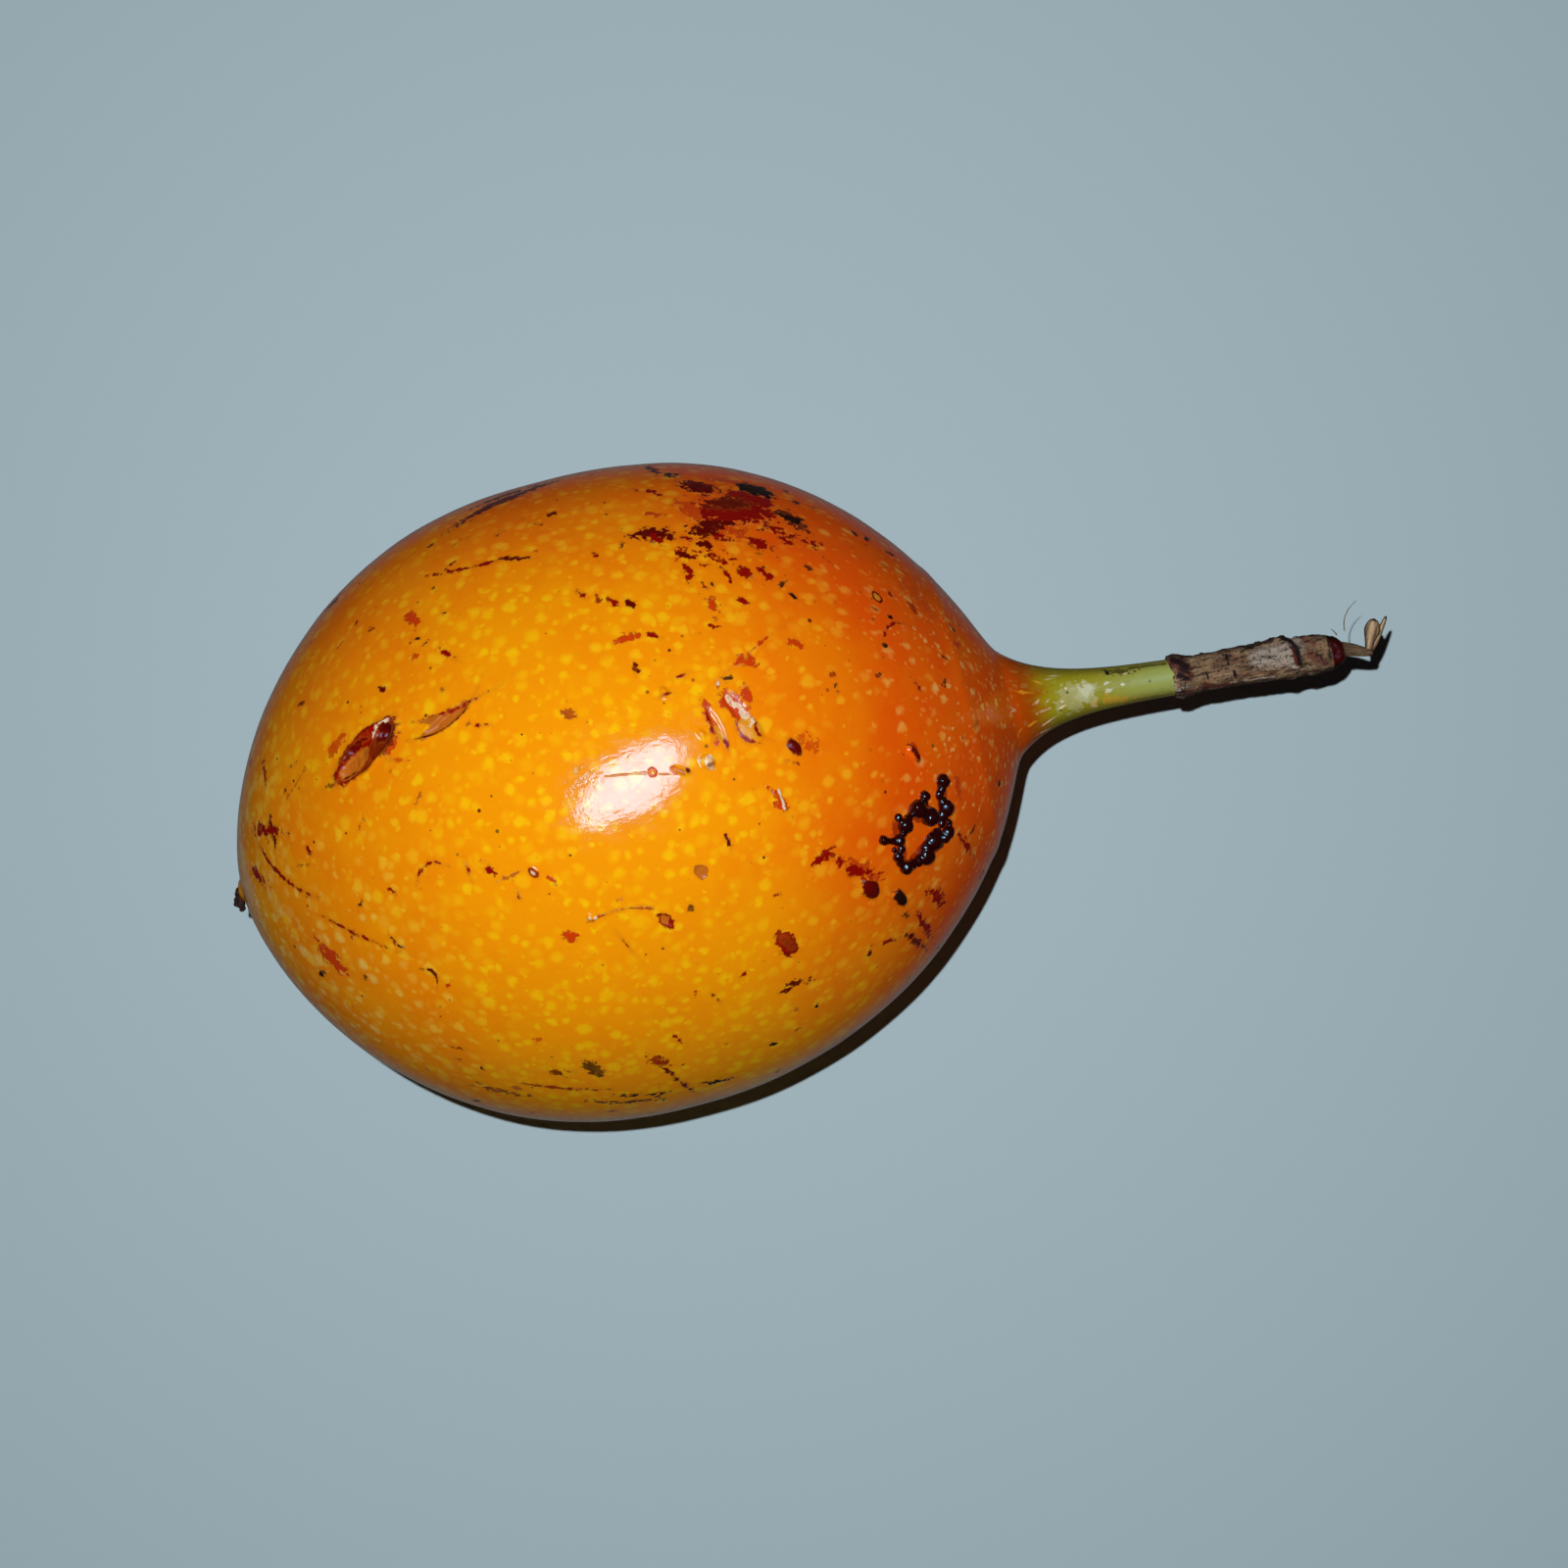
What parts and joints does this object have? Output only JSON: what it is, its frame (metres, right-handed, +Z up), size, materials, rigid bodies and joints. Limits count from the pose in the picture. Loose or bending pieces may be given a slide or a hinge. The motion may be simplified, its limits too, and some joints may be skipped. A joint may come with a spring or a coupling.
{
  "type": "passion fruit",
  "caption": "Ripe orange passion fruit lying on its side as picked: smooth freckled rind, pointed shoulder, green neck and a short woody stalk with dry scales.",
  "frame": {"origin": "the middle of the small flat spot that the fruit rests on, under its widest section", "axes": "+X along the fruit from its blossom end to its stalk; +Z up; +Y to the fruit's left side"},
  "size_m": [0.1111, 0.06, 0.0595],
  "materials": {
    "rind": "waxy orange fruit rind with pale dots, darker near the stalk, yellow-green on the neck",
    "dried_gum": "hard glossy near-black maroon resin",
    "withered_flower": "dry, matte, dark brown",
    "bark": "rough grey-brown bark with dark cracks",
    "dry_scale": "dry, papery, tan"
  },
  "bodies": {
    "root": {"fruit": "rind", "gum_crust": "dried_gum", "withered_style": "withered_flower", "woody_stalk": "bark", "dried_shoot": "dry_scale"}
  },
  "joints": []
}
